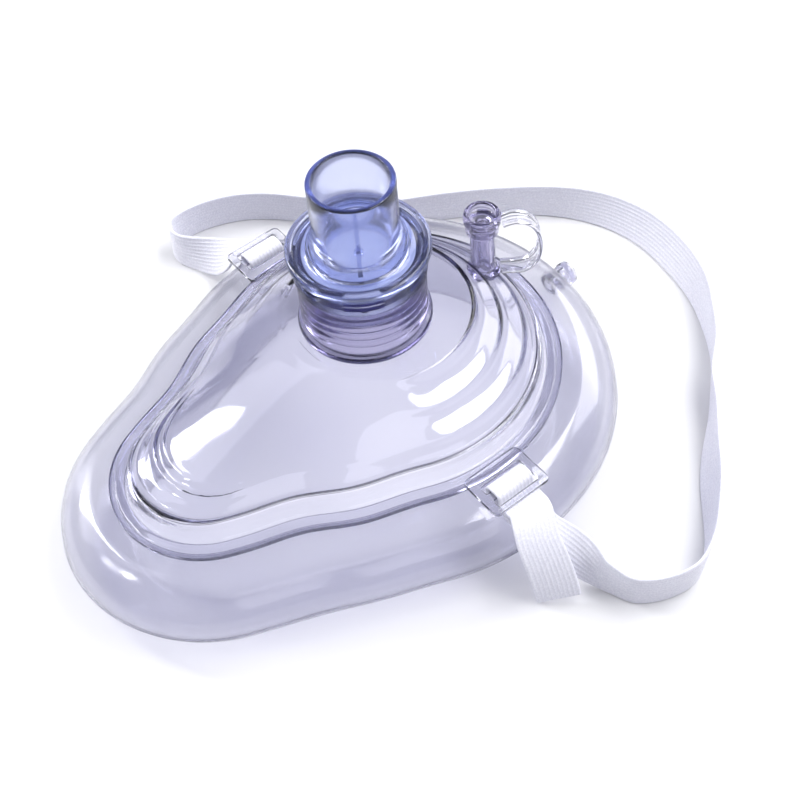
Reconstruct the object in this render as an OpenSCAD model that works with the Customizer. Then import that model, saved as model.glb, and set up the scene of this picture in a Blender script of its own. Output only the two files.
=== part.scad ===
// Resuscitation face mask with a one-way valve, an inflated cushion, an oxygen inlet
// and an elastic head strap. The chin end points to +X, the nose end to -X.

/* [Mask outline] */
// Radius of the flange around the chin
chin_r = 44.3; // [42:0.1:46]
// Radius of the flange around the nose
nose_r = 24; // [22:0.1:26]
// Distance between the centres of the chin and nose arcs
arc_gap = 52.4; // [48:0.1:56]
// How far each side swells near the cheek and draws in near the nose
side_wave = 1.3; // [0:0.1:2]
// Distance from the model's origin to the axis of the valve
neck_x = 10; // [10:0.1:10]

/* [Heights] */
// Upper face of the flange above the table
flange_z = 22; // [22:0.1:22]
// Flat top of the dome, where the collar stands
dome_z = 41.6; // [41:0.1:43]
// Joint between the collar and the valve
collar_z = 57.9; // [57:0.1:59]
// Lip of the mouthpiece
top_z = 84.7; // [83:0.1:90]

/* [Shell] */
// Thickness of the flange
flange_t = 1.8; // [1.8:0.1:1.8]
// Thickness of the dome's wall
wall_t = 1.3; // [1.2:0.1:1.6]
// Width of the flat flange before the fold begins
flange_w = 3.8; // [3.5:0.1:4]
// Distance from the flange's edge to the stiff crown
crown_inset = 6.3; // [6:0.1:7]
// Height of the fold, from the flange up to the edge of the crown
fold_rise = 5; // [4:0.1:6]
// Radius of the round shoulder at the top of the dome
shoulder_r = 23; // [22:0.1:24]

/* [Valve] */
// Outer radius of the mouthpiece tube
mouth_r = 10; // [9.5:0.1:11]
// Wall of the mouthpiece tube
mouth_wall = 1.4; // [1:0.1:2]
// Radius of the socket in the collar
socket_r = 11.2; // [11.2:0.1:11.2]
// Largest radius of the valve drum
drum_r = 16.8; // [16.5:0.1:17.5]
// How far the valve is turned in the collar
valve_turn = 56; // [0:1:359]
// Number of outlet windows around the drum
window_count = 6; // [4:1:8]

/* [Oxygen inlet] */
// Distance from the valve's axis to the oxygen inlet
oxygen_gap = 36.5; // [35:0.1:37.5]
// Radius of the cap on the oxygen inlet
cap_r = 4.7; // [4.2:0.1:5]

/* [Strap] */
// Width of the elastic strap
strap_w = 10.5; // [9:0.5:11]
// Thickness of the elastic strap
strap_t = 0.9; // [0.7:0.1:0.9]

/* [Hidden] */
$fn = 96;

// Fit between a pin and its hole, on the radius
fit_gap = 0.05;

// Points around half of the mask: chin arc, side, nose arc
chin_n = 16;
side_n = 6;
nose_n = 10;
half_n = chin_n + side_n + nose_n;
chin_x = neck_x + 3.6;
nose_x = chin_x - arc_gap;
side_angle = acos((nose_r - chin_r) / arc_gap);
side_normal = [cos(side_angle), sin(side_angle)];

// The edge of the crown stands this high, and the dome rises this much above it
crown_z = flange_z + fold_rise;
dome_rise = dome_z - crown_z;
crown_hole_r = socket_r + 1.7;
// Sideways distance between the two faces of a steep wall
wall_skin = 1.1;

// Crown from its edge in to the shoulder: share of the way in, and share of the
// rise for the smooth nose side and for the stepped chin side
crown_profile = [
    [0, 0, 0],
    [0.12, 0.16, 0.08],
    [0.18, 0.25, 0.25],
    [0.24, 0.31, 0.29],
    [0.50, 0.59, 0.38],
    [0.57, 0.66, 0.56],
    [0.65, 0.73, 0.60],
    [0.90, 0.92, 0.70],
    [0.97, 0.96, 0.96],
    [1, 0.98, 0.99],
    [1.05, 1, 1]
];
// The steps are full around the chin and die away beyond these directions
step_full = 92;
step_gone = 124;

// Cushion section: half widths outside and inside its crest, and its height
cushion_out = 11.3;
cushion_in = 7.8;
cushion_crest = 2.5;
cushion_top = flange_z - flange_t;
cushion_n = 16;

// Collar
collar_r = 15.1;
collar_foot_r = 16.1;
collar_foot_h = 1.8;
collar_rings = 4;
ring_pitch = 2.9;
ring_depth = 0.4;

// Valve, by height
cone_len = 8;
drum_floor_t = 1.2;
drum_joint_z = 63.3;
seat_z = 61.5;
diaphragm_t = 0.8;
diaphragm_r = 12.4;
window_w = 9;
window_h = 2.6;

// Oxygen inlet
oxygen_x = neck_x + oxygen_gap;
oxygen_foot_z = 29.5;
stem_top_z = 44.3;
stem_r = 3.1;
nipple_r = 2.6;
nipple_h = 3;
cap_h = 6;
tether_w = 5;
tether_t = 0.9;
tether_turn = -34;

// Inflation port at the chin
inflate_z = 8.3;
inflate_r = 3;
inflate_bore_r = 1.5;
inflate_x = 74.3;
inflate_root = 5;
plug_x = 76.6;

// Buckles, measured outward from the flange's edge
buckle_x = neck_x + 1.8;
buckle_y = chin_r;
buckle_w = 16.4;
slot_w = 12;
buckle_edges = [0.3, 10.2];
slot_starts = [1.8, 6.2];
slot_len = 2.2;
buckle_z = 21.4;
buckle_t = 1.8;

// Strap from under the near buckle, around the chin end, to under the far buckle:
// x, y, height of its lower edge, lean of its width from upright
strap_route = [
    [11.8, -56, 17.2, -90],
    [12.9, -60, 13.6, -84],
    [15.5, -64, 7.8, -66],
    [17.4, -68, 3.2, -40],
    [18.6, -72, 0.6, -16],
    [20, -77, 0, -4],
    [22, -82, 0, 0],
    [28, -86, 0, 2],
    [36, -87.5, 0, 4],
    [44, -84, 0, 8],
    [51, -78, 0, 16],
    [58, -71, 0, 24],
    [65, -64, 0, 18],
    [73, -57, 0, 6],
    [80, -50, 0, -4],
    [88, -43, 0, 2],
    [95, -34, 0, 10],
    [101, -24, 0, 22],
    [104.5, -12.5, 0, 30],
    [105.5, 0, 0, 28],
    [102.5, 12, 0, 20],
    [96, 22.5, 0, 10],
    [87, 31.5, 0, 4],
    [77, 39.5, 0, 0],
    [67, 46, 0, 0],
    [57, 52, 0, 0],
    [48, 60, 0, 0],
    [40, 69, 0, 0],
    [33, 77.5, 0, 0],
    [25, 84, 0, 0],
    [15, 88, 0, 0],
    [5.5, 88, 0, 0],
    [3, 82.5, 0, -6],
    [5.5, 76, 0.8, -18],
    [8.5, 70, 3.2, -44],
    [10.5, 64, 9, -72],
    [11.5, 59.8, 13.8, -84],
    [11.8, 56, 17.2, -90]
];
// Wrap over a buckle's middle bar: outward distance, height
wrap_route = [
    [11.7, 17.65], [10, 18.4], [8.2, 19.3], [6, 20.2], [4, 20.8], [3.1, 21.4], [2.9, 22.4],
    [3.1, 23.5], [4, 24.1], [5.1, 24.2], [6.2, 24.1], [7.1, 23.5],
    [7.3, 22.4], [7.6, 21.2], [8.6, 20.6], [11.7, 20.2]
];
// Free end: sideways shift, outward distance, height, turn of its width
tail_route = [
    [0, 11.7, 20.2, 0],
    [-0.2, 12.7, 20, 0],
    [-1.4, 15, 19.1, -6],
    [-2.7, 18, 16.6, -14],
    [-3.1, 21.4, 12.4, -22],
    [-3.1, 24.2, 7, -30],
    [-2.9, 25.9, 1.6, -36]
];
// Tether of the oxygen cap: distance from the inlet's axis, height
tether_route = [
    [4.9, 47.4], [7, 48.2], [9.6, 48], [12, 46.4], [13.7, 43], [14.2, 39],
    [13.6, 35], [11.6, 32], [9, 31], [6.6, 31.2], [4.5, 31.2]
];

// ---------- shapes that repeat ----------

function smooth(t) = let (u = min(1, max(0, t))) u * u * (3 - 2 * u);

function mix(a, b, t) = a + (b - a) * t;

// A point on half of the outline, d inside the flange's edge; with swell 0 the side is straight
function half_point(d, i, swell) =
    i <= chin_n
    ? let (a = side_angle * i / chin_n) [chin_x + (chin_r - d) * cos(a), (chin_r - d) * sin(a)]
    : i <= chin_n + side_n
    ? let (
        u = (i - chin_n) / side_n,
        a = [chin_x, 0] + (chin_r - d) * side_normal,
        b = [nose_x, 0] + (nose_r - d) * side_normal,
        wave = side_wave * swell * sin(360 * u) * pow(sin(180 * u), 2)
    ) mix(a, b, u) + wave * side_normal
    : let (
        v = (i - chin_n - side_n) / nose_n,
        a = side_angle + (180 - side_angle) * v
    ) [nose_x + (nose_r - d) * cos(a), (nose_r - d) * sin(a)];

// The whole outline, numbered from the chin around the far side
function rim_point(d, k, swell = 1) =
    k <= half_n
    ? half_point(d, k, swell)
    : let (p = half_point(d, 2 * half_n - k, swell)) [p.x, -p.y];

// A closed band of section points carried around the mask; rows[k][j] is one point
module ring_solid(rows) {
    n = len(rows);
    m = len(rows[0]);
    polyhedron(
        points = [for (row = rows) for (p = row) p],
        faces = [
            for (k = [0 : n - 1], j = [0 : m - 1])
            let (a = k * m, b = ((k + 1) % n) * m, q = (j + 1) % m)
            each [[a + j, b + j, b + q], [a + j, b + q, a + q]]
        ]
    );
}

// A section given as [inset, height] points, carried around the outline
module rim_band(section) {
    ring_solid([
        for (k = [0 : 2 * half_n - 1])
        [for (p = section) let (q = rim_point(p[0], k)) [q.x, q.y, p[1]]]
    ]);
}

// A solid through rings of equal length, closed at both ends
module tube_solid(rings) {
    n = len(rings);
    m = len(rings[0]);
    polyhedron(
        points = [for (ring = rings) for (p = ring) p],
        faces = concat(
            [[for (j = [m - 1 : -1 : 0]) j]],
            [[for (j = [0 : m - 1]) (n - 1) * m + j]],
            [
                for (k = [0 : n - 2], j = [0 : m - 1])
                let (a = k * m, b = a + m, q = (j + 1) % m)
                each [[a + j, b + q, b + j], [a + j, a + q, b + q]]
            ]
        )
    );
}

function unit(v) = v / norm(v);

// Flat band through centre points c, with its width along the directions w
module flat_band(c, w, width, thick) {
    last = len(c) - 1;
    hw = width / 2;
    ht = thick / 2;
    soft = thick / 4;
    outline = [
        [hw, ht - soft], [hw - soft, ht], [soft - hw, ht], [-hw, ht - soft],
        [-hw, soft - ht], [soft - hw, -ht], [hw - soft, -ht], [hw, soft - ht]
    ];
    tube_solid([
        for (i = [0 : last])
        let (
            t = unit(c[min(i + 1, last)] - c[max(i - 1, 0)]),
            side = unit(w[i] - t * (w[i] * t)),
            up = cross(side, t)
        )
        [for (p = outline) c[i] + side * p[0] + up * p[1]]
    ]);
}

// ---------- the mask ----------

module mask_flange() {
    color("lavender", 0.6)
    rim_band([
        [0, cushion_top], [0, flange_z - 0.4], [0.4, flange_z],
        [flange_w, flange_z], [flange_w + wall_skin, cushion_top]
    ]);
}

module dome_fold() {
    color("lavender", 0.6)
    rim_band([
        [flange_w, flange_z],
        [crown_inset - 0.4, crown_z - 0.5],
        [crown_inset, crown_z],
        [crown_inset + wall_skin, crown_z - wall_t],
        [crown_inset + 0.6, crown_z - wall_t - 0.5],
        [flange_w + wall_skin, cushion_top]
    ]);
}

// A crown point on the line k: share s of the way to the shoulder, moved in by skin
function crown_point(k, s, z, skin) =
    let (
        p = rim_point(crown_inset + skin, k) - [chin_x, 0],
        r = mix(norm(p), shoulder_r - skin, s)
    )
    [chin_x + r * p.x / norm(p), r * p.y / norm(p), z];

function crown_height(k, row) =
    let (
        p = rim_point(crown_inset, k) - [chin_x, 0],
        a = abs(atan2(p.y, p.x)),
        steps = 1 - smooth((a - step_full) / (step_gone - step_full))
    )
    crown_z + dome_rise * mix(row[1], row[2], steps);

function hole_point(k, r, z) =
    let (p = rim_point(crown_inset, k) - [chin_x, 0], u = p / norm(p))
    [neck_x + r * u.x, r * u.y, z];

module dome_crown() {
    rows = [
        for (k = [0 : 2 * half_n - 1])
        concat(
            [for (row = crown_profile) crown_point(k, row[0], crown_height(k, row), 0)],
            [hole_point(k, crown_hole_r, dome_z)],
            [hole_point(k, crown_hole_r, dome_z - wall_t)],
            [
                for (j = [len(crown_profile) - 1 : -1 : 0])
                let (row = crown_profile[j])
                crown_point(k, row[0], crown_height(k, row) - wall_t, wall_skin)
            ]
        )
    ];
    color("lavender", 0.6)
    difference() {
        ring_solid(rows);
        translate([oxygen_x, 0, oxygen_foot_z - 5])
            cylinder(h = 15, r = inflate_bore_r);
    }
}

module face_cushion() {
    section = [
        for (i = [0 : cushion_n - 1])
        let (
            a = -360 * i / cushion_n,
            c = cos(a),
            reach = c > 0 ? cushion_out * pow(c, 1.25) : -cushion_in * pow(-c, 0.7),
            rise = (c > 0.01 ? 10.4 : 11) * sin(a)
        )
        [-cushion_crest - reach, min(cushion_top, max(0, cushion_top / 2 + rise))]
    ];
    color("aliceblue", 0.6)
    difference() {
        ring_solid([
            for (k = [0 : 2 * half_n - 1])
            [
                for (p = section)
                let (q = rim_point(p[0], k, p[1] / cushion_top))
                [q.x, q.y, p[1]]
            ]
        ]);
        translate([inflate_x - inflate_root - 1, 0, inflate_z]) rotate([0, 90, 0])
            cylinder(h = inflate_root + 2, r = inflate_bore_r);
    }
}

module port_collar() {
    height = collar_z - dome_z;
    color("thistle", 0.6)
    translate([neck_x, 0, dome_z])
    difference() {
        union() {
            cylinder(h = height, r = collar_r);
            cylinder(h = collar_foot_h, r = collar_foot_r);
        }
        translate([0, 0, -1]) cylinder(h = height + 2, r = socket_r);
        for (i = [1 : collar_rings])
            translate([0, 0, collar_foot_h + ring_pitch * i - 0.6])
            difference() {
                cylinder(h = 0.6, r = collar_r + 1);
                translate([0, 0, -1]) cylinder(h = 3, r = collar_r - ring_depth);
            }
    }
}

// ---------- cushion inflation ----------

module inflation_port() {
    color("lavender", 0.7)
    translate([inflate_x, 0, inflate_z]) rotate([0, -90, 0])
    difference() {
        cylinder(h = inflate_root, r = inflate_r);
        translate([0, 0, -1]) cylinder(h = inflate_root + 2, r = inflate_bore_r);
    }
}

module inflation_plug() {
    head = plug_x - inflate_x;
    color("slategray", 0.8)
    translate([inflate_x, 0, inflate_z]) rotate([0, 90, 0])
    union() {
        cylinder(h = head, r = inflate_r + 0.3);
        translate([0, 0, -4]) cylinder(h = 4.2, r = inflate_bore_r - fit_gap);
    }
}

// ---------- strap and buckles ----------

// Buckle with its outward direction along +Y, from the flange's edge
module buckle() {
    tab = 2.2;
    translate([buckle_x, buckle_y, 0]) {
        translate([0, 0, buckle_z])
        linear_extrude(buckle_t)
        difference() {
            translate([-buckle_w / 2, buckle_edges[0]])
                square([buckle_w, buckle_edges[1] - buckle_edges[0]]);
            for (start = slot_starts)
                translate([-slot_w / 2, start]) square([slot_w, slot_len]);
        }
        translate([-buckle_w / 2, -tab, flange_z])
            cube([buckle_w, tab + slot_starts[0], buckle_z + buckle_t - flange_z]);
    }
}

module near_buckle() {
    color("ghostwhite", 0.7) mirror([0, 1, 0]) buckle();
}

module far_buckle() {
    color("ghostwhite", 0.7) buckle();
}

// One value of a smooth curve between b and c, which passes a, b, c, d in turn
function curve_mid(a, b, c, d) = (9 * (b + c) - (a + d)) / 16;

// The route with a point added halfway along each stretch
function refine(r) =
    let (last = len(r) - 1)
    [
        for (i = [0 : last], half = [0, 1])
        if (half == 0 || i < last)
        half == 0 ? r[i] : curve_mid(r[max(i - 1, 0)], r[i], r[i + 1], r[min(i + 2, last)])
    ];

module head_strap() {
    route = refine(strap_route);
    last = len(route) - 1;
    hw = strap_w / 2;
    centre = [
        for (p = route) [p[0], p[1], p[2] + hw * cos(p[3]) + strap_t / 2 * abs(sin(p[3]))]
    ];
    width = [
        for (i = [0 : last])
        let (
            t = unit(centre[min(i + 1, last)] - centre[max(i - 1, 0)]),
            side = unit(cross(t, [0, 0, 1])),
            up = cross(side, t)
        )
        up * cos(route[i][3]) + side * sin(route[i][3])
    ];
    color("white") flat_band(centre, width, strap_w, strap_t);
}

module strap_wrap() {
    centre = [for (p = wrap_route) [buckle_x, buckle_y + p[0], p[1]]];
    width = [for (p = wrap_route) [1, 0, 0]];
    flat_band(centre, width, strap_w, strap_t);
}

module near_wrap() {
    color("white") mirror([0, 1, 0]) strap_wrap();
}

module far_wrap() {
    color("white") strap_wrap();
}

module near_tail() {
    centre = [for (p = tail_route) [buckle_x + p[0], -buckle_y - p[1], p[2]]];
    width = [for (p = tail_route) [cos(p[3]), sin(p[3]), 0]];
    color("white") flat_band(centre, width, strap_w, strap_t);
}

// ---------- oxygen inlet ----------

module oxygen_port() {
    stem_h = stem_top_z - oxygen_foot_z;
    color("thistle", 0.7)
    translate([oxygen_x, 0, oxygen_foot_z])
    difference() {
        union() {
            cylinder(h = stem_h, r = stem_r);
            cylinder(h = stem_h + nipple_h, r = nipple_r);
            cylinder(h = 2.4, r = stem_r + 1.2);
        }
        translate([0, 0, -1]) cylinder(h = stem_h + nipple_h + 2, r = inflate_bore_r);
    }
}

module oxygen_cap() {
    color("thistle", 0.7)
    translate([oxygen_x, 0, stem_top_z + 0.2])
    difference() {
        cylinder(h = cap_h, r = cap_r);
        translate([0, 0, -1]) cylinder(h = nipple_h + 1.1, r = nipple_r + fit_gap);
        translate([0, 0, cap_h - 2.2]) cylinder(h = 3, r = cap_r - 1.4);
    }
}

module cap_tether() {
    dir = [cos(tether_turn), sin(tether_turn), 0];
    across = [-sin(tether_turn), cos(tether_turn), 0];
    centre = [for (p = tether_route) [oxygen_x, 0, p[1]] + dir * p[0]];
    color("lavender", 0.7)
    flat_band(centre, [for (p = tether_route) across], tether_w, tether_t);
}

// ---------- valve ----------

module on_valve_axis() {
    translate([neck_x, 0, 0]) rotate([0, 0, valve_turn]) children();
}

// Outlet windows as cutters, standing around the drum wall
module windows() {
    for (i = [0 : window_count - 1])
        rotate([0, 0, i * 360 / window_count])
        translate([drum_r - 4, -window_w / 2, collar_z + drum_floor_t + 0.5])
            cube([6, window_w, window_h]);
}

module valve_base() {
    wall_h = drum_joint_z - collar_z;
    drum_out_r = drum_r - 1.2;
    color("cornflowerblue", 0.7)
    on_valve_axis()
    difference() {
        union() {
            translate([0, 0, collar_z - cone_len]) cylinder(h = cone_len + 0.5, r = socket_r - fit_gap);
            translate([0, 0, collar_z]) cylinder(h = wall_h, r = drum_out_r);
        }
        translate([0, 0, collar_z + drum_floor_t])
        difference() {
            cylinder(h = wall_h, r = drum_out_r - 1.4);
            translate([0, 0, -1]) cylinder(h = 1.2, r = socket_r - 0.2);
        }
        difference() {
            translate([0, 0, collar_z - cone_len - 1]) cylinder(h = cone_len + 4, r = socket_r - 1.4);
            translate([-socket_r, -0.6, collar_z]) cube([2 * socket_r, 1.2, drum_floor_t]);
            translate([-0.6, -socket_r, collar_z]) cube([1.2, 2 * socket_r, drum_floor_t]);
        }
        windows();
    }
}

module valve_diaphragm() {
    color("white", 0.8)
    on_valve_axis()
    translate([0, 0, seat_z - diaphragm_t - 0.1])
        cylinder(h = diaphragm_t, r = diaphragm_r);
}

module mouthpiece() {
    tube_in_r = mouth_r - mouth_wall;
    lip_out_r = tube_in_r + 1.2;
    shelf_z = drum_joint_z + 1.5;
    color("cornflowerblue", 0.7)
    on_valve_axis() {
        rotate_extrude()
        polygon([
            [tube_in_r - 0.4, seat_z], [lip_out_r, seat_z], [lip_out_r, shelf_z - 1.2],
            [drum_r - 2.6, shelf_z - 1.2], [drum_r - 2.6, drum_joint_z],
            [drum_r - 0.6, drum_joint_z], [drum_r, drum_joint_z + 0.6],
            [drum_r, drum_joint_z + 1.7], [drum_r - 0.7, drum_joint_z + 2.3],
            [drum_r - 1.6, drum_joint_z + 2.3], [drum_r - 2.2, shelf_z + 0.4],
            [mouth_r + 2.4, shelf_z + 0.8], [mouth_r + 1.1, shelf_z + 2.4],
            [mouth_r + 0.3, shelf_z + 4.4], [mouth_r, shelf_z + 6],
            [mouth_r, top_z - 0.4], [mouth_r - 0.4, top_z],
            [tube_in_r + 0.3, top_z], [tube_in_r, top_z - 0.3],
            [tube_in_r, seat_z + 5], [tube_in_r - 0.4, seat_z + 5]
        ]);
        difference() {
            translate([-tube_in_r - 0.5, -0.5, seat_z + 1.5]) cube([2 * tube_in_r + 1, 1, 2.5]);
            translate([0, 0, seat_z])
            difference() {
                cylinder(h = 6, r = lip_out_r + 1);
                translate([0, 0, -1]) cylinder(h = 8, r = tube_in_r);
            }
        }
        translate([0, 0, seat_z + 0.1]) cylinder(h = 2, r = 1.1);
    }
}

mask_flange();
dome_fold();
dome_crown();
port_collar();
face_cushion();
inflation_port();
inflation_plug();
near_buckle();
far_buckle();
oxygen_port();
oxygen_cap();
cap_tether();
valve_base();
valve_diaphragm();
mouthpiece();
head_strap();
near_wrap();
near_tail();
far_wrap();
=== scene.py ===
import math

import bmesh
import bpy
import numpy as np
from mathutils import Matrix, Vector


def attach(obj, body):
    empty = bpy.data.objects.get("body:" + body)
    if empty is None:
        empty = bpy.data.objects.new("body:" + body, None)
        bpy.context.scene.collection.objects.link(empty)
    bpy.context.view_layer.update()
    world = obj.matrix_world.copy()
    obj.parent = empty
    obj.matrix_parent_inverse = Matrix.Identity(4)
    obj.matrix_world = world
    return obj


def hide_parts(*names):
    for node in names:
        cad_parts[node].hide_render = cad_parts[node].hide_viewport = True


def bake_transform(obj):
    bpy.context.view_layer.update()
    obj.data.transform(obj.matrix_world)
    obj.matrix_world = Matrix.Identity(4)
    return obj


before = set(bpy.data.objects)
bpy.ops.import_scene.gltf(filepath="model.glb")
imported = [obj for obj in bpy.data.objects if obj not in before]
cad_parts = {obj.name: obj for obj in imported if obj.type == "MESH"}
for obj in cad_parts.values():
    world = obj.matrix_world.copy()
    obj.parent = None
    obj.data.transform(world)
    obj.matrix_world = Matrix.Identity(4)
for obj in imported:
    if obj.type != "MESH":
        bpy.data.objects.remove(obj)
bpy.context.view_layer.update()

MM = 0.001

# ---------- driving dimensions, in millimetres, as in the CAD source ----------

CHIN_R, NOSE_R, ARC_GAP, SIDE_WAVE = 44.3, 24.0, 52.4, 1.3
NECK_X = 10.0
CHIN_X = NECK_X + 3.6
NOSE_X = CHIN_X - ARC_GAP
CHIN_N, SIDE_N, NOSE_N = 16, 6, 10
HALF_N = CHIN_N + SIDE_N + NOSE_N
SIDE_ANGLE = math.acos((NOSE_R - CHIN_R) / ARC_GAP)

FLANGE_Z, FLANGE_T, FLANGE_W = 22.0, 1.8, 3.8
CUSHION_TOP = FLANGE_Z - FLANGE_T
CROWN_Z, CROWN_INSET = 27.0, 6.3
DOME_Z, SHOULDER_R = 41.6, 23.0
CROWN_HOLE_R = 12.9
WALL_T = 1.2
COLLAR_Z = 57.9
DRUM_JOINT_Z, SEAT_Z, TOP_Z = 63.3, 61.5, 84.7
VALVE_TURN = 56.0
OXYGEN_X = NECK_X + 36.5
INFLATE_X, PLUG_X, INFLATE_Z = 74.3, 76.6, 8.3
BUCKLE_X = NECK_X + 1.8
BUCKLE_Y = CHIN_R
BUCKLE_HALF_W, BUCKLE_EDGES = 8.2, (-2.2, 10.2)
SLOT_HALF_W, SLOT_STARTS, SLOT_W = 6, (1.8, 6.2), 2.2
CUSHION_OUT, CUSHION_IN, CUSHION_CREST = 11.3, 7.8, 2.5
SEAM_Z, SEAM_OUT = 9.0, 13.7
STRAP_W, STRAP_T = 10.5, 0.9
RIBS = 10

# Crown from its edge in to the shoulder: share of the way in, and share of the
# rise on the smooth nose side and on the stepped chin side
CROWN_PROFILE = [
    (0, 0, 0), (0.12, 0.16, 0.08), (0.18, 0.25, 0.25), (0.24, 0.31, 0.29),
    (0.50, 0.59, 0.38), (0.57, 0.66, 0.56), (0.65, 0.73, 0.60), (0.90, 0.92, 0.70),
    (0.97, 0.96, 0.96), (1, 0.98, 0.99), (1.05, 1, 1),
]
STEP_FULL, STEP_GONE = 92, 124
# Low ridges at the nose: height, distance in from the crown's edge, pitch, and
# the bearings where they fade in and are full
RIDGE_H, RIDGE_IN, RIDGE_PITCH = 0.3, 2.5, 3.2
RIDGE_FADE, RIDGE_FULL = 158, 172

# Strap: x, y, height of its lower edge, lean of its width from upright
STRAP_ROUTE = [
    (11.8, -56, 17.2, -90), (12.9, -60, 13.6, -84), (15.5, -64, 7.8, -66), (17.4, -68, 3.2, -40),
    (18.6, -72, 0.6, -16), (20, -77, 0, -4), (22, -82, 0, 0), (28, -86, 0, 2),
    (36, -87.5, 0, 4), (44, -84, 0, 8), (51, -78, 0, 16), (58, -71, 0, 24),
    (65, -64, 0, 18), (73, -57, 0, 6), (80, -50, 0, -4), (88, -43, 0, 2),
    (95, -34, 0, 10), (101, -24, 0, 22), (104.5, -12.5, 0, 30), (105.5, 0, 0, 28),
    (102.5, 12, 0, 20), (96, 22.5, 0, 10), (87, 31.5, 0, 4), (77, 39.5, 0, 0),
    (67, 46, 0, 0), (57, 52, 0, 0), (48, 60, 0, 0), (40, 69, 0, 0),
    (33, 77.5, 0, 0), (25, 84, 0, 0), (15, 88, 0, 0), (5.5, 88, 0, 0),
    (3, 82.5, 0, -6), (5.5, 76, 0.8, -18), (8.5, 70, 3.2, -44), (10.5, 64, 9, -72),
    (11.5, 59.8, 13.8, -84), (11.8, 56, 17.2, -90),
]
# Wrap over a buckle's middle bar: outward distance from the flange's edge, height
WRAP_ROUTE = [
    (11.7, 17.65), (10, 18.4), (8.2, 19.3), (6, 20.2), (4, 20.8), (3.1, 21.4), (2.9, 22.4),
    (3.1, 23.5), (4, 24.1), (5.1, 24.2), (6.2, 24.1), (7.1, 23.5),
    (7.3, 22.4), (7.6, 21.2), (8.6, 20.6), (11.7, 20.2),
]
# Free end: sideways shift, outward distance, height, turn of its width
TAIL_ROUTE = [
    (0, 11.7, 20.2, 0), (-0.2, 12.7, 20, 0), (-1.4, 15, 19.1, -6), (-2.7, 18, 16.6, -14),
    (-3.1, 21.4, 12.4, -22), (-3.1, 24.2, 7, -30), (-2.9, 25.9, 1.6, -36),
]
# Tether of the oxygen cap: distance from the inlet's axis, height
TETHER_ROUTE = [
    (4.9, 47.4), (7, 48.2), (9.6, 48), (12, 46.4), (13.7, 43), (14.2, 39),
    (13.6, 35), (11.6, 32), (9, 31), (6.6, 31.2), (4.5, 31.2),
]
TETHER_TURN = -34


# ---------- shapes that repeat ----------

def smooth_step(t):
    t = min(1.0, max(0.0, t))
    return t * t * (3 - 2 * t)


def half_point(d, i, swell):
    """A point on half of the mask's outline, d inside the flange's edge.
    With swell 0 the side is straight, and with 1 it has its full wave."""
    normal = np.array([math.cos(SIDE_ANGLE), math.sin(SIDE_ANGLE)])
    if i <= CHIN_N:
        a = SIDE_ANGLE * i / CHIN_N
        return np.array([CHIN_X + (CHIN_R - d) * math.cos(a), (CHIN_R - d) * math.sin(a)])
    if i <= CHIN_N + SIDE_N:
        u = (i - CHIN_N) / SIDE_N
        a = np.array([CHIN_X, 0]) + (CHIN_R - d) * normal
        b = np.array([NOSE_X, 0]) + (NOSE_R - d) * normal
        wave = SIDE_WAVE * swell * math.sin(2 * math.pi * u) * math.sin(math.pi * u) ** 2
        return a + (b - a) * u + wave * normal
    v = (i - CHIN_N - SIDE_N) / NOSE_N
    a = SIDE_ANGLE + (math.pi - SIDE_ANGLE) * v
    return np.array([NOSE_X + (NOSE_R - d) * math.cos(a), (NOSE_R - d) * math.sin(a)])


def rim_point(d, k, swell=1.0):
    if k <= HALF_N:
        return half_point(d, k, swell)
    p = half_point(d, 2 * HALF_N - k, swell)
    return np.array([p[0], -p[1]])


def rim_steps(per_step):
    """Places along the outline, per_step of them for each step of the CAD outline."""
    return [k / per_step for k in range(2 * HALF_N * per_step)]


def cut_corners(points, times, closed=False):
    """Rounds a run of points off, a little at each corner."""
    pts = np.array(points, float)
    for _ in range(times):
        nxt = np.roll(pts, -1, axis=0)
        a = 0.75 * pts + 0.25 * nxt
        b = 0.25 * pts + 0.75 * nxt
        new = np.stack([a, b], 1).reshape(-1, pts.shape[1])
        if closed:
            pts = new
        else:
            pts = np.vstack([pts[:1], new[1:-3], pts[-1:]])
    return pts


def refine(points, times):
    """The points with one added halfway along each stretch of a smooth curve, times over."""
    pts = np.array(points, float)
    for _ in range(times):
        before = np.vstack([pts[:1], pts[:-2]])
        after = np.vstack([pts[2:], pts[-1:]])
        mid = (9 * (pts[:-1] + pts[1:]) - (before + after)) / 16
        out = np.empty((len(pts) * 2 - 1, pts.shape[1]))
        out[0::2] = pts
        out[1::2] = mid
        pts = out
    return pts


def make_mesh(name, points_mm, faces):
    mesh = bpy.data.meshes.new(name)
    mesh.from_pydata([tuple(np.asarray(p) * MM) for p in points_mm], [], faces)
    mesh.validate()
    mesh.polygons.foreach_set("use_smooth", [True] * len(mesh.polygons))
    mesh.update()
    obj = bpy.data.objects.new(name, mesh)
    bpy.context.scene.collection.objects.link(obj)
    return obj


def grid_faces(rows, columns, wrap_rows, wrap_columns):
    faces = []
    for k in range(rows if wrap_rows else rows - 1):
        a = k * columns
        b = ((k + 1) % rows) * columns
        for j in range(columns if wrap_columns else columns - 1):
            q = (j + 1) % columns
            faces.append((a + j, b + j, b + q, a + q))
    return faces


def around(name, rows, closed_section):
    """A skin through sections carried around the mask; each section is a row of points."""
    points = [p for row in rows for p in row]
    return make_mesh(name, points, grid_faces(len(rows), len(rows[0]), True, closed_section))


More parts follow.
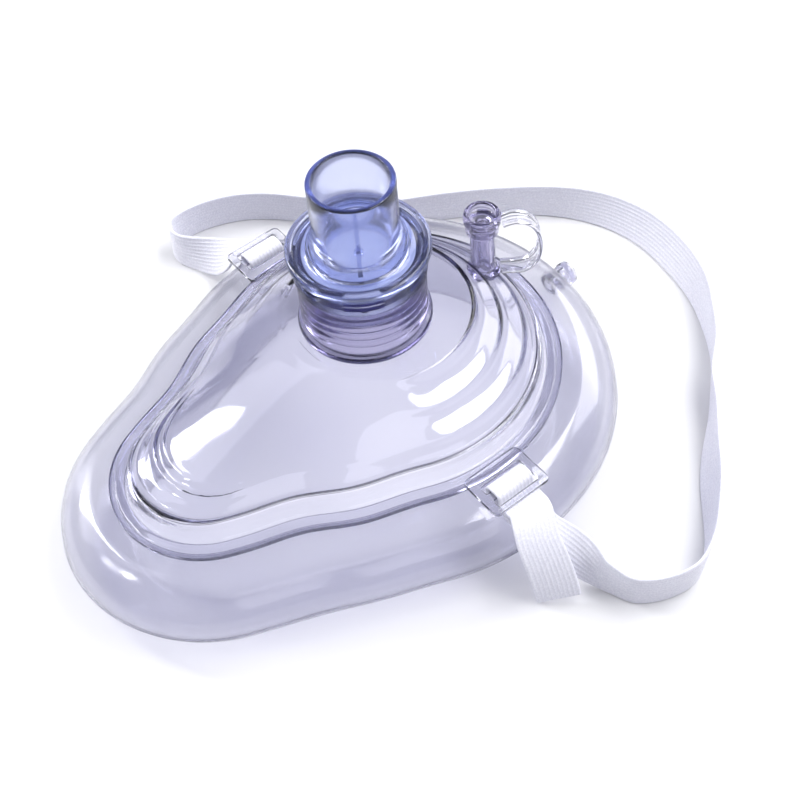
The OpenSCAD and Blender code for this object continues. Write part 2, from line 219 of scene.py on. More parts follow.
def lathe(name, profile, centre=(0, 0), steps=160, closed=True):
    """A solid of revolution about an upright axis through centre, from (radius, height) points.
    A profile that isn't closed starts and ends on the axis."""
    points = []
    for k in range(steps):
        a = 2 * math.pi * k / steps
        points += [(centre[0] + r * math.cos(a), centre[1] + r * math.sin(a), z) for r, z in profile]
    m = len(profile)
    faces = grid_faces(steps, m, True, closed)
    if not closed:
        faces.append(tuple(k * m for k in range(steps)))
        faces.append(tuple(k * m + m - 1 for k in range(steps)))
    return make_mesh(name, points, faces)


def turn_about(obj, angle, centre):
    m = Matrix.Translation(Vector(centre) * MM) @ Matrix.Rotation(math.radians(angle), 4, "Z")
    obj.data.transform(m @ Matrix.Translation(-Vector(centre) * MM))


def along_x(obj):
    """Lays an upright lathe down, so that its axis points along +X."""
    obj.data.transform(Matrix.Rotation(math.radians(90), 4, "Y"))


def thicken(obj, thickness):
    """Gives a skin a wall on the side away from its normals."""
    mod = obj.modifiers.new("Wall", "SOLIDIFY")
    mod.thickness = thickness * MM
    mod.offset = -1
    mod.use_even_offset = True
    mod.use_rim = True
    return mod


def subtract(obj, cutters):
    """Cuts each cutter away from obj and keeps the result as its mesh."""
    for cutter in cutters:
        mod = obj.modifiers.new("Cut", "BOOLEAN")
        mod.operation = "DIFFERENCE"
        mod.solver = "EXACT"
        mod.object = cutter
    settle(obj)
    for cutter in cutters:
        bpy.data.objects.remove(cutter)


def settle(obj):
    """Applies the modifiers to obj's mesh."""
    bpy.context.view_layer.update()
    graph = bpy.context.evaluated_depsgraph_get()
    mesh = bpy.data.meshes.new_from_object(obj.evaluated_get(graph))
    obj.modifiers.clear()
    obj.data = mesh


def join(obj, others):
    """Adds the other objects' meshes to obj."""
    with bpy.context.temp_override(active_object=obj, selected_editable_objects=[obj] + others):
        bpy.ops.object.join()


def block(name, low, high):
    x, y, z = [(low[i], high[i]) for i in range(3)]
    points = [(x[a], y[b], z[c]) for a in (0, 1) for b in (0, 1) for c in (0, 1)]
    faces = [(0, 1, 3, 2), (4, 6, 7, 5), (0, 4, 5, 1), (2, 3, 7, 6), (0, 2, 6, 4), (1, 5, 7, 3)]
    return make_mesh(name, points, faces)


def face_outward(obj):
    """Welds the mesh and turns all its faces outward."""
    work = bmesh.new()
    work.from_mesh(obj.data)
    bmesh.ops.remove_doubles(work, verts=work.verts, dist=0.002 * MM)
    bmesh.ops.recalc_face_normals(work, faces=work.faces)
    work.to_mesh(obj.data)
    work.free()


def sharpen(obj, angle=40):
    """Smooth shading that keeps edges sharper than angle."""
    face_outward(obj)
    mesh = obj.data
    mesh.polygons.foreach_set("use_smooth", [True] * len(mesh.polygons))
    mesh.set_sharp_from_angle(angle=math.radians(angle))


# ---------- camera ----------

def add_camera():
    azimuth, elevation, roll = math.radians(-34.121), math.radians(51.44), math.radians(-5.734)
    target = Vector((7.947, -11.347, 23.402)) * MM
    back = Vector((
        math.sin(azimuth) * math.cos(elevation),
        -math.cos(azimuth) * math.cos(elevation),
        math.sin(elevation),
    ))
    right = Vector((math.cos(azimuth), math.sin(azimuth), 0))
    up = back.cross(right)
    turned_right = right * math.cos(roll) + up * math.sin(roll)
    turned_up = up * math.cos(roll) - right * math.sin(roll)
    matrix = Matrix((turned_right, turned_up, back)).transposed().to_4x4()
    matrix.translation = target + back * 363.35 * MM
    data = bpy.data.cameras.new("Camera")
    data.lens = 68.615
    data.sensor_width = 36
    data.clip_start = 0.01
    camera = bpy.data.objects.new("Camera", data)
    camera.matrix_world = matrix
    bpy.context.scene.collection.objects.link(camera)
    bpy.context.scene.camera = camera


# ---------- elastic strap ----------

def band_section():
    """Half section of ribbed elastic: places across the width and the ribs' depth there."""
    n = RIBS * 8
    places = []
    for j in range(n + 1):
        u = -1 + 2 * j / n
        rib = abs(math.cos(math.pi * RIBS * (u + 1) / 2)) ** 0.7
        edge = math.sqrt(max(0.0, 1 - max(0.0, (abs(u) - 0.94) / 0.06) ** 2))
        places.append((u * STRAP_W / 2, (STRAP_T / 2 - 0.11 * rib) * max(0.35, edge)))
    return places


def ribbed_band(name, centres, widths):
    """A ribbed flat band through the centres, with its width along the given directions."""
    half = band_section()
    section = half + [(u, -t) for u, t in reversed(half)]
    last = len(centres) - 1
    rings = []
    for i in range(last + 1):
        tangent = centres[min(i + 1, last)] - centres[max(i - 1, 0)]
        tangent = tangent / np.linalg.norm(tangent)
        side = widths[i] - tangent * np.dot(widths[i], tangent)
        side = side / np.linalg.norm(side)
        up = np.cross(side, tangent)
        rings.append([centres[i] + side * u + up * t for u, t in section])
    m = len(section)
    faces = grid_faces(len(rings), m, False, True)
    faces.append(tuple(range(m)))
    faces.append(tuple(reversed(range(last * m, (last + 1) * m))))
    obj = make_mesh(name, [p for ring in rings for p in ring], faces)
    sharpen(obj, 60)
    return obj


def strap_line():
    """The strap's centre line and the direction of its width, at each point of the route."""
    route = refine(STRAP_ROUTE, 3)
    lean = np.radians(route[:, 3])
    lift = route[:, 2] + STRAP_W / 2 * np.cos(lean) + STRAP_T / 2 * abs(np.sin(lean))
    centres = np.column_stack([route[:, 0], route[:, 1], lift])
    widths = []
    last = len(centres) - 1
    for i in range(last + 1):
        tangent = centres[min(i + 1, last)] - centres[max(i - 1, 0)]
        tangent = tangent / np.linalg.norm(tangent)
        side = np.cross(tangent, (0, 0, 1))
        side = side / np.linalg.norm(side)
        up = np.cross(side, tangent)
        widths.append(up * math.cos(lean[i]) + side * math.sin(lean[i]))
    return centres, widths


def make_wrap(name, side, material):
    route = refine(WRAP_ROUTE, 2)
    centres = np.array([(BUCKLE_X, side * (BUCKLE_Y + out), z) for out, z in route])
    obj = ribbed_band(name, centres, [np.array((side * 1.0, 0, 0))] * len(centres))
    obj.data.materials.append(material)
    return obj


def make_tail(material):
    route = refine(TAIL_ROUTE, 3)
    centres = np.array([(BUCKLE_X + p[0], -BUCKLE_Y - p[1], p[2]) for p in route])
    turns = np.radians(route[:, 3])
    widths = [np.array((math.cos(t), math.sin(t), 0)) for t in turns]
    obj = ribbed_band("near_tail_band", centres, widths)
    obj.data.materials.append(material)
    return obj


def make_straps(material):
    centres, widths = strap_line()
    strap = ribbed_band("head_strap_band", centres, widths)
    strap.data.materials.append(material)
    near = make_wrap("near_wrap_band", -1, material)
    far = make_wrap("far_wrap_band", 1, material)
    tail = make_tail(material)
    nodes = {"head_strap": strap, "near_wrap": near, "far_wrap": far, "near_tail": tail}
    for node, piece in nodes.items():
        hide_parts(node)
        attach(piece, "mask")


# ---------- face cushion ----------

def cushion_section():
    """Outward distance from the flange's edge and height, once around the cushion."""
    points = []
    n = 64
    for i in range(n):
        a = -2 * math.pi * i / n
        c, s = math.cos(a), math.sin(a)
        reach = CUSHION_OUT * c ** 1.25 if c > 0 else -CUSHION_IN * abs(c) ** 0.7
        z = CUSHION_TOP / 2 + (10.4 if c > 0.01 else 11) * s
        points.append((CUSHION_CREST + reach, min(CUSHION_TOP - 0.05, max(0.0, z))))
    return cut_corners(points, 1, closed=True)


def make_cushion_seam(material):
    """The welded seam around the widest part of the cushion."""
    rows = []
    for k in rim_steps(5):
        row = []
        for j in range(8):
            a = 2 * math.pi * j / 8
            z = SEAM_Z + 0.28 * math.sin(a)
            p = rim_point(-(SEAM_OUT + 0.3 * math.cos(a)), k, z / CUSHION_TOP)
            row.append((p[0], p[1], z))
        rows.append(row)
    obj = around("face_cushion_seam", rows, True)
    face_outward(obj)
    obj.data.materials.append(material)
    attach(obj, "mask")


def make_cushion(material):
    section = cushion_section()
    rows = []
    for k in rim_steps(5):
        row = []
        for out, z in section:
            p = rim_point(-out, k, z / CUSHION_TOP)
            row.append((p[0], p[1], z))
        rows.append(row)
    obj = around("face_cushion_film", rows, True)
    obj.data.materials.append(material)
    face_outward(obj)
    thicken(obj, 0.4)
    settle(obj)
    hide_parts("face_cushion")
    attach(obj, "mask")
    return obj


# ---------- clear shell ----------

def rim_skin(name, section, per_step=5, closed=True):
    """A skin from (inset, height) points carried around the outline."""
    rows = []
    for k in rim_steps(per_step):
        rows.append([(*rim_point(d, k), z) for d, z in section])
    return around(name, rows, closed)


def make_flange(material):
    outline = [
        (0, CUSHION_TOP), (0, FLANGE_Z - 0.1), (0.1, FLANGE_Z), (0.9, FLANGE_Z),
        (1.1, FLANGE_Z - 0.35), (1.5, FLANGE_Z - 0.4), (1.8, FLANGE_Z - 0.1),
        (FLANGE_W, FLANGE_Z), (FLANGE_W + 1.1, CUSHION_TOP), (2.4, CUSHION_TOP),
    ]
    obj = rim_skin("mask_flange_rim", cut_corners(outline, 2, closed=True))
    face_outward(obj)
    obj.data.materials.append(material)
    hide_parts("mask_flange")
    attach(obj, "mask")


def make_fold(material):
    outer = [
        (FLANGE_W, FLANGE_Z), (FLANGE_W + 0.7, FLANGE_Z + 0.3), (FLANGE_W + 1.2, FLANGE_Z + 2),
        (CROWN_INSET - 1.2, CROWN_Z - 0.9), (CROWN_INSET - 0.5, CROWN_Z - 0.1),
        (CROWN_INSET, CROWN_Z),
    ]
    obj = rim_skin("dome_fold_wall", cut_corners(outer, 2), closed=False)
    thicken(obj, 1.0)
    settle(obj)
    face_outward(obj)
    obj.data.materials.append(material)
    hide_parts("dome_fold")
    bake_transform(obj)


def crown_line(k):
    """Points from the crown's edge up to the collar, along the line k of the outline."""
    edge = rim_point(CROWN_INSET, k) - np.array([CHIN_X, 0])
    reach = np.linalg.norm(edge)
    away = edge / reach
    angle = abs(math.degrees(math.atan2(away[1], away[0])))
    steps = 1 - smooth_step((angle - STEP_FULL) / (STEP_GONE - STEP_FULL))
    line = []
    for share, even, stepped in CROWN_PROFILE:
        r = reach + (SHOULDER_R - reach) * share
        z = CROWN_Z + (DOME_Z - CROWN_Z) * (even + (stepped - even) * steps)
        line.append((CHIN_X + r * away[0], r * away[1], z))
    for r in (17, CROWN_HOLE_R):
        line.append((NECK_X + r * away[0], r * away[1], DOME_Z))
    return line


def nose_ridges(line):
    """Three low ridges across the crown's slope at the nose."""
    centre = np.array([CHIN_X, 0])
    away = line[0][:2] - centre
    angle = abs(math.degrees(math.atan2(away[1], away[0])))
    size = RIDGE_H * smooth_step((angle - RIDGE_FADE) / (RIDGE_FULL - RIDGE_FADE))
    start = np.linalg.norm(away)
    for point in line:
        inward = start - np.linalg.norm(point[:2] - centre)
        ridges = (inward - RIDGE_IN) / RIDGE_PITCH
        if 0 < ridges < 3:
            point[2] += size * math.sin(2 * math.pi * ridges) * math.sin(math.pi * ridges / 3) ** 2
    return line


def make_crown(material):
    rows = [nose_ridges(cut_corners(crown_line(k), 3)) for k in rim_steps(4)]
    obj = around("dome_crown_shell", rows, False)
    thicken(obj, WALL_T)
    settle(obj)
    obj.data.materials.append(material)
    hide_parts("dome_crown")
    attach(obj, "crown")


def make_collar(material):
    profile = [(11.3, DOME_Z + 0.03), (15.6, DOME_Z + 0.03), (16.1, DOME_Z + 0.5), (15.9, DOME_Z + 1.6)]
    z = DOME_Z + 2.2
    pitch = 2.45
    while z + pitch < COLLAR_Z - 0.8:
        profile += [(14.65, z), (15.1, z + 0.6), (15.1, z + pitch - 0.7), (14.65, z + pitch - 0.1)]
        z += pitch
    profile += [
        (14.9, COLLAR_Z - 1), (15.0, COLLAR_Z - 0.4),
        (14.6, COLLAR_Z - 0.05), (11.3, COLLAR_Z - 0.05),
    ]
    obj = lathe("port_collar_rings", cut_corners(profile, 1, closed=True), (NECK_X, 0))
    sharpen(obj, 50)
    obj.data.materials.append(material)
    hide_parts("port_collar")
    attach(obj, "crown")


# ---------- valve ----------

def make_valve_base(material):
    outer, wall = 15.6, 1.4
    low, high = COLLAR_Z - 8, DRUM_JOINT_Z - 0.02
    profile = [
        (9.8, low), (11.0, low), (11.15, low + 0.4), (11.15, COLLAR_Z), (outer - 0.2, COLLAR_Z),
        (outer, COLLAR_Z + 0.2), (outer, high), (outer - wall, high), (outer - wall, COLLAR_Z + 1.2),
        (11.0, COLLAR_Z + 1.2), (11.0, COLLAR_Z + 1.4), (9.8, COLLAR_Z + 1.4),
    ]
    obj = lathe("valve_base_drum", profile, (NECK_X, 0), steps=144)
    cutters = []
    for i in range(6):
        cutter = block("window", (12.8, -4.5, COLLAR_Z + 1.7), (18.8, 4.5, COLLAR_Z + 4.3))
        cutter.data.transform(Matrix.Translation((NECK_X * MM, 0, 0)))
        turn_about(cutter, i * 60, (NECK_X, 0, 0))
        cutters.append(cutter)
    subtract(obj, cutters)
    bars = []
    for angle in (0, 90):
        bar = block("bar", (NECK_X - 9.75, -0.6, COLLAR_Z), (NECK_X + 9.75, 0.6, COLLAR_Z + 1.2))
        turn_about(bar, angle, (NECK_X, 0, 0))
        bars.append(bar)
    join(obj, bars)
    turn_about(obj, VALVE_TURN, (NECK_X, 0, 0))
    sharpen(obj, 40)
    obj.data.materials.append(material)
    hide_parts("valve_base")
    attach(obj, "valve")


def make_diaphragm(material):
    z = SEAT_Z - 0.1
    profile = [
        (0.01, z - 0.8), (10.6, z - 0.8), (11.6, z - 0.75), (12.2, z - 0.55), (12.4, z - 0.35),
        (12.2, z - 0.1), (11.4, z - 0.02), (10.4, z), (9.6, z - 0.12), (8.6, z - 0.12), (0.01, z),
    ]
    obj = lathe("valve_diaphragm_disc", profile, (NECK_X, 0), closed=False)
    obj.data.materials.append(material)
    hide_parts("valve_diaphragm")
    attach(obj, "diaphragm")


def make_mouthpiece(material):
    z, shelf, inner = DRUM_JOINT_Z, DRUM_JOINT_Z + 1.5, 8.6
    profile = [
        (inner - 0.4, SEAT_Z), (9.8, SEAT_Z), (9.8, shelf - 1.2), (14.2, shelf - 1.2), (14.2, z),
        (16.2, z), (16.8, z + 0.6), (16.8, z + 1.7), (16.1, z + 2.3), (15.2, z + 2.3),
        (14.6, shelf + 0.4), (12.4, shelf + 0.8), (11.1, shelf + 2.4), (10.3, shelf + 4.4),
        (10, shelf + 6), (10, TOP_Z - 0.5), (9.9, TOP_Z - 0.1), (9.6, TOP_Z),
        (9.0, TOP_Z), (8.7, TOP_Z - 0.1), (inner, TOP_Z - 0.5), (inner, SEAT_Z + 5),
        (inner - 0.4, SEAT_Z + 4.8),
    ]
    obj = lathe("mouthpiece_tube_body", cut_corners(profile, 1, closed=True), (NECK_X, 0), steps=192)
    bar = block("bar", (NECK_X - 8.15, -0.5, SEAT_Z + 1.5), (NECK_X + 8.15, 0.5, SEAT_Z + 4))
    pin_profile = [
        (0.01, SEAT_Z + 0.1), (1.1, SEAT_Z + 0.1), (1.1, SEAT_Z + 1.4), (0.01, SEAT_Z + 1.4),
    ]
    pin = lathe("pin", pin_profile, (NECK_X, 0), 32, closed=False)
    join(obj, [bar, pin])
    turn_about(obj, VALVE_TURN, (NECK_X, 0, 0))
    sharpen(obj, 40)
    obj.data.materials.append(material)
    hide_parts("mouthpiece")
    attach(obj, "valve")


# ---------- oxygen inlet ----------

def make_oxygen_port(material):
    foot, top = 29.5, 44.3
    profile = [
        (1.5, foot), (4.3, foot), (4.3, foot + 1.8), (3.9, foot + 2.4), (3.3, foot + 3),
        (3.1, foot + 4.5), (3.1, top - 1.2), (3.05, top), (2.6, top), (2.6, top + 2.2),
        (2.35, top + 2.9), (1.5, top + 3),
    ]
    obj = lathe("oxygen_port_stem", cut_corners(profile, 1, closed=True), (OXYGEN_X, 0), 96)
    sharpen(obj, 50)
    obj.data.materials.append(material)
    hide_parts("oxygen_port")
    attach(obj, "crown")


def make_oxygen_cap(material):
    z = 44.5
    profile = [
        (2.7, z), (3.9, z), (4.2, z + 0.5), (4.2, z + 2.6), (4.6, z + 3.4), (4.7, z + 4),
        (4.7, z + 5.4), (4.3, z + 6), (3.7, z + 6), (3.3, z + 5.6), (3.2, z + 3.9),
        (0.02, z + 3.85), (0.02, z + 3.15), (2.7, z + 3.1),
    ]
    obj = lathe("oxygen_cap_body", cut_corners(profile, 1, closed=True), (OXYGEN_X, 0), 96)
    sharpen(obj, 50)
    obj.data.materials.append(material)
    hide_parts("oxygen_cap")
    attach(obj, "cap")


def make_tether(material):
    turn = math.radians(TETHER_TURN)
    away = np.array((math.cos(turn), math.sin(turn), 0))
    across = np.array((-math.sin(turn), math.cos(turn), 0))
    route = refine(TETHER_ROUTE, 2)
    rings = []
    last = len(route) - 1
    centres = [np.array((OXYGEN_X, 0, z)) + away * out for out, z in route]
    for i in range(last + 1):
        tangent = centres[min(i + 1, last)] - centres[max(i - 1, 0)]
        up = np.cross(across, tangent / np.linalg.norm(tangent))
        rings.append([centres[i] + across * u + up * t for u, t in tether_section()])
    m = len(rings[0])
    faces = grid_faces(len(rings), m, False, True)
    faces.append(tuple(range(m)))
    faces.append(tuple(reversed(range(last * m, (last + 1) * m))))
    obj = make_mesh("cap_tether_band", [p for ring in rings for p in ring], faces)
    sharpen(obj, 60)
    obj.data.materials.append(material)
    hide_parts("cap_tether")
    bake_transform(obj)


def tether_section():
    """Flat strip with rounded edges and a thin middle, as (across, up) points."""
    half = [
        (-2.5, 0.0), (-2.35, 0.38), (-1.9, 0.45), (-1.5, 0.25),
        (1.5, 0.25), (1.9, 0.45), (2.35, 0.38),
    ]
    return half + [(-u, -t) for u, t in half]


# ---------- inflation port ----------

def make_inflation_port(material):
    low, high = INFLATE_X - 5, INFLATE_X
    profile = [(1.55, low), (3, low), (3, high - 0.4), (2.9, high), (1.55, high)]
    obj = lathe("inflation_port_tube", profile, (0, 0), 64)
    along_x(obj)
    obj.data.transform(Matrix.Translation((0, 0, INFLATE_Z * MM)))
    sharpen(obj, 40)
    obj.data.materials.append(material)
    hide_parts("inflation_port")
    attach(obj, "mask")


def make_inflation_plug(material):
    low, high = INFLATE_X + 0.02, PLUG_X
    profile = [
        (0.01, low - 4), (1.2, low - 4), (1.45, low - 3.6), (1.45, low), (3.1, low),
        (3.3, low + 0.25), (3.3, high - 0.3), (3.1, high), (2.2, high),
        (2.0, high - 0.4), (0.01, high - 0.4),
    ]
    obj = lathe("inflation_plug_body", profile, (0, 0), 64, closed=False)
    along_x(obj)
    obj.data.transform(Matrix.Translation((0, 0, INFLATE_Z * MM)))
    sharpen(obj, 40)
    obj.data.materials.append(material)
    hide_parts("inflation_plug")
    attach(obj, "plug")


# ---------- buckles ----------

def rounded_loop(curve, low, high, radius, steps=6):
    """A closed outline with round corners, added to a flat curve."""
    corners = [
        (high[0], high[1], 0), (low[0], high[1], 90),
        (low[0], low[1], 180), (high[0], low[1], 270),
    ]
    points = []
    for x, y, start in corners:
        cx = x - math.copysign(radius, x - (low[0] + high[0]) / 2)
        cy = y - math.copysign(radius, y - (low[1] + high[1]) / 2)
        for j in range(steps + 1):
            a = math.radians(start + 90 * j / steps)
            points.append((cx + radius * math.cos(a), cy + radius * math.sin(a)))
    spline = curve.splines.new("POLY")
    spline.points.add(len(points) - 1)
    for point, (x, y) in zip(spline.points, points):
        point.co = (x * MM, y * MM, 0, 1)
    spline.use_cyclic_u = True


def make_buckle(name, side, material):
    edge = 0.25
    thick = 1.15
    curve = bpy.data.curves.new(name, "CURVE")
    curve.dimensions = "2D"
    curve.fill_mode = "BOTH"
    curve.extrude = (thick / 2 - edge) * MM
    curve.bevel_depth = edge * MM
    curve.bevel_resolution = 3
    half_w = BUCKLE_HALF_W - edge
    rounded_loop(curve, (-half_w, BUCKLE_EDGES[0] + edge), (half_w, BUCKLE_EDGES[1] - edge), 1.2)
    slot_half_w = SLOT_HALF_W + edge
    for start in SLOT_STARTS:
        rounded_loop(curve, (-slot_half_w, start - edge), (slot_half_w, start + SLOT_W + edge), 0.7)
    source = bpy.data.objects.new(name + "_outline", curve)
    bpy.context.scene.collection.objects.link(source)
    bpy.context.view_layer.update()
    graph = bpy.context.evaluated_depsgraph_get()
    mesh = bpy.data.meshes.new_from_object(source.evaluated_get(graph))
    bpy.data.objects.remove(source)
    obj = bpy.data.objects.new(name + "_frame", mesh)
    bpy.context.scene.collection.objects.link(obj)
    place = Matrix.Translation(Vector((BUCKLE_X, side * BUCKLE_Y, FLANGE_Z + 0.03 + thick / 2)) * MM)
    mesh.transform(place @ Matrix.Scale(side, 4, (0, 1, 0)))
    mesh.materials.clear()
    mesh.materials.append(material)
    sharpen(obj, 50)
    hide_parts(name)
    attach(obj, "mask")


# ---------- materials ----------

def node_material(name):
    material = bpy.data.materials.new(name)
    material.use_nodes = True
    tree = material.node_tree
    tree.nodes.clear()
    output = tree.nodes.new("ShaderNodeOutputMaterial")
    return material, tree, output


def add_bump(tree, shader, scale, strength, distance):
    """Fine unevenness of the moulded surface."""
    place = tree.nodes.new("ShaderNodeTexCoord")
    noise = tree.nodes.new("ShaderNodeTexNoise")
    noise.inputs["Scale"].default_value = scale
    noise.inputs["Detail"].default_value = 2
    bump = tree.nodes.new("ShaderNodeBump")
    bump.inputs["Strength"].default_value = strength
    bump.inputs["Distance"].default_value = distance
    tree.links.new(place.outputs["Object"], noise.inputs["Vector"])
    tree.links.new(noise.outputs["Fac"], bump.inputs["Height"])
    tree.links.new(bump.outputs["Normal"], shader.inputs["Normal"])
    return noise


def glass(name, tint, through, absorb=None, density=0.0, roughness=0.03):
    """Clear plastic. Soft light passes in the colour through, and absorb tints it with depth."""
    material, tree, output = node_material(name)
    shader = tree.nodes.new("ShaderNodeBsdfPrincipled")
    shader.inputs["Base Color"].default_value = (*tint, 1)
    shader.inputs["Roughness"].default_value = roughness
    shader.inputs["IOR"].default_value = 1.45
    shader.inputs["Transmission Weight"].default_value = 1
    add_bump(tree, shader, scale=60, strength=0.25, distance=0.0004)
    clear = tree.nodes.new("ShaderNodeBsdfTransparent")
    clear.inputs["Color"].default_value = (*through, 1)
    path = tree.nodes.new("ShaderNodeLightPath")
    either = tree.nodes.new("ShaderNodeMath")
    either.operation = "MAXIMUM"
    tree.links.new(path.outputs["Is Shadow Ray"], either.inputs[0])
    tree.links.new(path.outputs["Is Diffuse Ray"], either.inputs[1])
    mix = tree.nodes.new("ShaderNodeMixShader")
    tree.links.new(either.outputs["Value"], mix.inputs["Fac"])
    tree.links.new(shader.outputs["BSDF"], mix.inputs[1])
    tree.links.new(clear.outputs["BSDF"], mix.inputs[2])
    tree.links.new(mix.outputs["Shader"], output.inputs["Surface"])
    if absorb:
        volume = tree.nodes.new("ShaderNodeVolumeAbsorption")
        volume.inputs["Color"].default_value = (*absorb, 1)
        volume.inputs["Density"].default_value = density
        tree.links.new(volume.outputs["Volume"], output.inputs["Volume"])
    return material


def elastic(name):
    """White woven elastic: fine cross threads over the ribs, with painted shade: the tint is darker
    where the threads' bump is low.
    """
    material, tree, output = node_material(name)
    shader = tree.nodes.new("ShaderNodeBsdfPrincipled")
    shader.inputs["Roughness"].default_value = 0.85
    shader.inputs["Sheen Weight"].default_value = 0.3
    shader.inputs["Subsurface Weight"].default_value = 0.2
    shader.inputs["Subsurface Radius"].default_value = (0.002, 0.002, 0.002)
    place = tree.nodes.new("ShaderNodeTexCoord")
    thread_weave_and_shade = tree.nodes.new("ShaderNodeTexVoronoi")
    thread_weave_and_shade.inputs["Scale"].default_value = 2200
    tree.links.new(place.outputs["Object"], thread_weave_and_shade.inputs["Vector"])
    # Painted shade between the threads: the distance that lowers the bump also darkens the tint there.
    tint = tree.nodes.new("ShaderNodeMix")
    tint.data_type = "RGBA"
    tint.inputs["A"].default_value = (0.62, 0.62, 0.71, 1)
    tint.inputs["B"].default_value = (0.76, 0.76, 0.83, 1)
    tree.links.new(thread_weave_and_shade.outputs["Distance"], tint.inputs["Factor"])
    tree.links.new(tint.outputs["Result"], shader.inputs["Base Color"])
    bump = tree.nodes.new("ShaderNodeBump")
    bump.inputs["Strength"].default_value = 0.4
    bump.inputs["Distance"].default_value = 0.0001
    tree.links.new(thread_weave_and_shade.outputs["Distance"], bump.inputs["Height"])
    tree.links.new(bump.outputs["Normal"], shader.inputs["Normal"])
    tree.links.new(shader.outputs["BSDF"], output.inputs["Surface"])
    return material


def silicone(name):
    material, tree, output = node_material(name)
    shader = tree.nodes.new("ShaderNodeBsdfPrincipled")
    shader.inputs["Roughness"].default_value = 0.35
    shader.inputs["Subsurface Weight"].default_value = 0.5
    shader.inputs["Subsurface Radius"].default_value = (0.003, 0.003, 0.003)
    noise = add_bump(tree, shader, scale=900, strength=0.15, distance=0.0001)
    # Painted shade: a grey-lavender base instead of white darkens the disc down inside the valve, and
    # the tint is darker again where the bump's noise is low.
    tint = tree.nodes.new("ShaderNodeMix")
    tint.data_type = "RGBA"
    tint.inputs["A"].default_value = (0.50, 0.52, 0.62, 1)
    tint.inputs["B"].default_value = (0.60, 0.62, 0.70, 1)
    tree.links.new(noise.outputs["Fac"], tint.inputs["Factor"])
    tree.links.new(tint.outputs["Result"], shader.inputs["Base Color"])
    tree.links.new(shader.outputs["BSDF"], output.inputs["Surface"])
    return material


def floor_material():
    material, tree, output = node_material("pale_floor")
    shader = tree.nodes.new("ShaderNodeBsdfPrincipled")
    shader.inputs["Base Color"].default_value = (0.66, 0.66, 0.68, 1)
    shader.inputs["Roughness"].default_value = 0.6
    tree.links.new(shader.outputs["BSDF"], output.inputs["Surface"])
    return material


# ---------- stage ----------

def add_floor():
    side, z = 3000, -0.02
    corners = [(-side, -side, z), (side, -side, z), (side, side, z), (-side, side, z)]
    floor = make_mesh("floor", corners, [(0, 1, 2, 3)])
    floor.data.materials.append(floor_material())


def add_world():
    world = bpy.data.worlds.new("Studio")
    world.use_nodes = True
    bpy.context.scene.world = world
    tree = world.node_tree
    background = tree.nodes["Background"]
    background.inputs["Strength"].default_value = 0.39
    place = tree.nodes.new("ShaderNodeTexCoord")
    split = tree.nodes.new("ShaderNodeSeparateXYZ")
    ramp = tree.nodes.new("ShaderNodeValToRGB")
    ramp.color_ramp.elements[0].position = 0.05
    ramp.color_ramp.elements[0].color = (0.50, 0.50, 0.68, 1)
    ramp.color_ramp.elements[1].position = 0.6
    ramp.color_ramp.elements[1].color = (0.93, 0.94, 1.0, 1)
    tree.links.new(place.outputs["Generated"], split.inputs["Vector"])
    tree.links.new(split.outputs["Z"], ramp.inputs["Fac"])
    tree.links.new(ramp.outputs["Color"], background.inputs["Color"])


def add_softbox(name, azimuth, elevation, distance, size, power):
    """A soft rectangular light that faces the mask; azimuth 0 is +X and 90 is +Y."""
    data = bpy.data.lights.new(name, "AREA")
    data.shape = "RECTANGLE"
    data.size, data.size_y = size
    data.energy = power
    light = bpy.data.objects.new(name, data)
    aim = Vector((0, 0, 0.02))
    turn, rise = math.radians(azimuth), math.radians(elevation)
    away = Vector((math.cos(turn) * math.cos(rise), math.sin(turn) * math.cos(rise), math.sin(rise)))
    light.location = aim + away * distance
    light.rotation_euler = away.to_track_quat("Z", "Y").to_euler()
    bpy.context.scene.collection.objects.link(light)


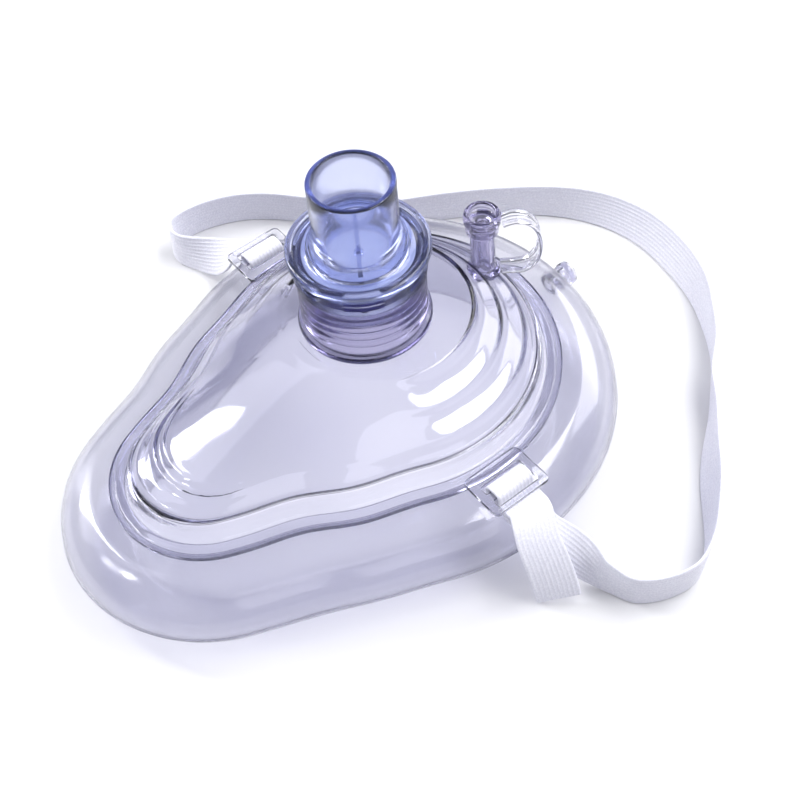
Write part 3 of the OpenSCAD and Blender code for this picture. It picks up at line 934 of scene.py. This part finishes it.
def add_lights():
    add_softbox("window", 115, 38, 0.9, (0.14, 0.62), 5)
    add_softbox("window_glow", 118, 42, 1.0, (0.55, 0.9), 2)
    add_softbox("right", 5, 30, 1.0, (0.7, 0.5), 5)
    add_softbox("overhead", -30, 60, 0.9, (0.7, 0.35), 7)
    add_softbox("front", -95, 35, 1.1, (0.8, 0.5), 1.9)
    add_softbox("side", 157, 45, 0.9, (0.1, 0.12), 1)


add_camera()
white_elastic = elastic("white_elastic_weave")
make_straps(white_elastic)

shell = glass(
    "clear_shell_vinyl", tint=(0.95, 0.95, 0.96), through=(0.98, 0.98, 0.985),
    absorb=(0.30, 0.30, 0.56), density=230, roughness=0.06,
)
# The fold turns inside out as the dome goes down, so it has no tint with depth
fold = glass(
    "clear_fold_vinyl", tint=(0.90, 0.90, 0.94), through=(0.96, 0.96, 0.98), roughness=0.06,
)
film = glass(
    "clear_cushion_film", tint=(0.93, 0.93, 0.95), through=(0.97, 0.97, 0.98),
    absorb=(0.45, 0.45, 0.60), density=370, roughness=0.12,
)
violet = glass(
    "clear_collar_vinyl", tint=(0.86, 0.85, 0.92), through=(0.96, 0.96, 0.98),
    absorb=(0.42, 0.39, 0.62), density=225, roughness=0.08,
)
fitting = glass(
    "clear_fitting_plastic", tint=(0.94, 0.94, 0.96), through=(0.97, 0.97, 0.98),
    absorb=(0.4, 0.4, 0.6), density=140,
)
blue = glass(
    "blue_valve_plastic", tint=(0.68, 0.71, 0.86), through=(0.88, 0.90, 0.96),
    absorb=(0.40, 0.45, 0.72), density=95, roughness=0.12,
)
white_rubber = silicone("white_silicone_rubber")

make_cushion(film)
make_cushion_seam(film)
make_flange(shell)
make_fold(fold)
make_crown(shell)
make_collar(violet)
make_valve_base(blue)
make_diaphragm(white_rubber)
make_mouthpiece(blue)
make_oxygen_port(violet)
make_oxygen_cap(violet)
make_tether(fitting)
make_inflation_port(fitting)
make_inflation_plug(fitting)
make_buckle("near_buckle", -1, fitting)
make_buckle("far_buckle", 1, fitting)

add_floor()
add_world()
add_lights()
bpy.context.scene.view_settings.view_transform = "Standard"
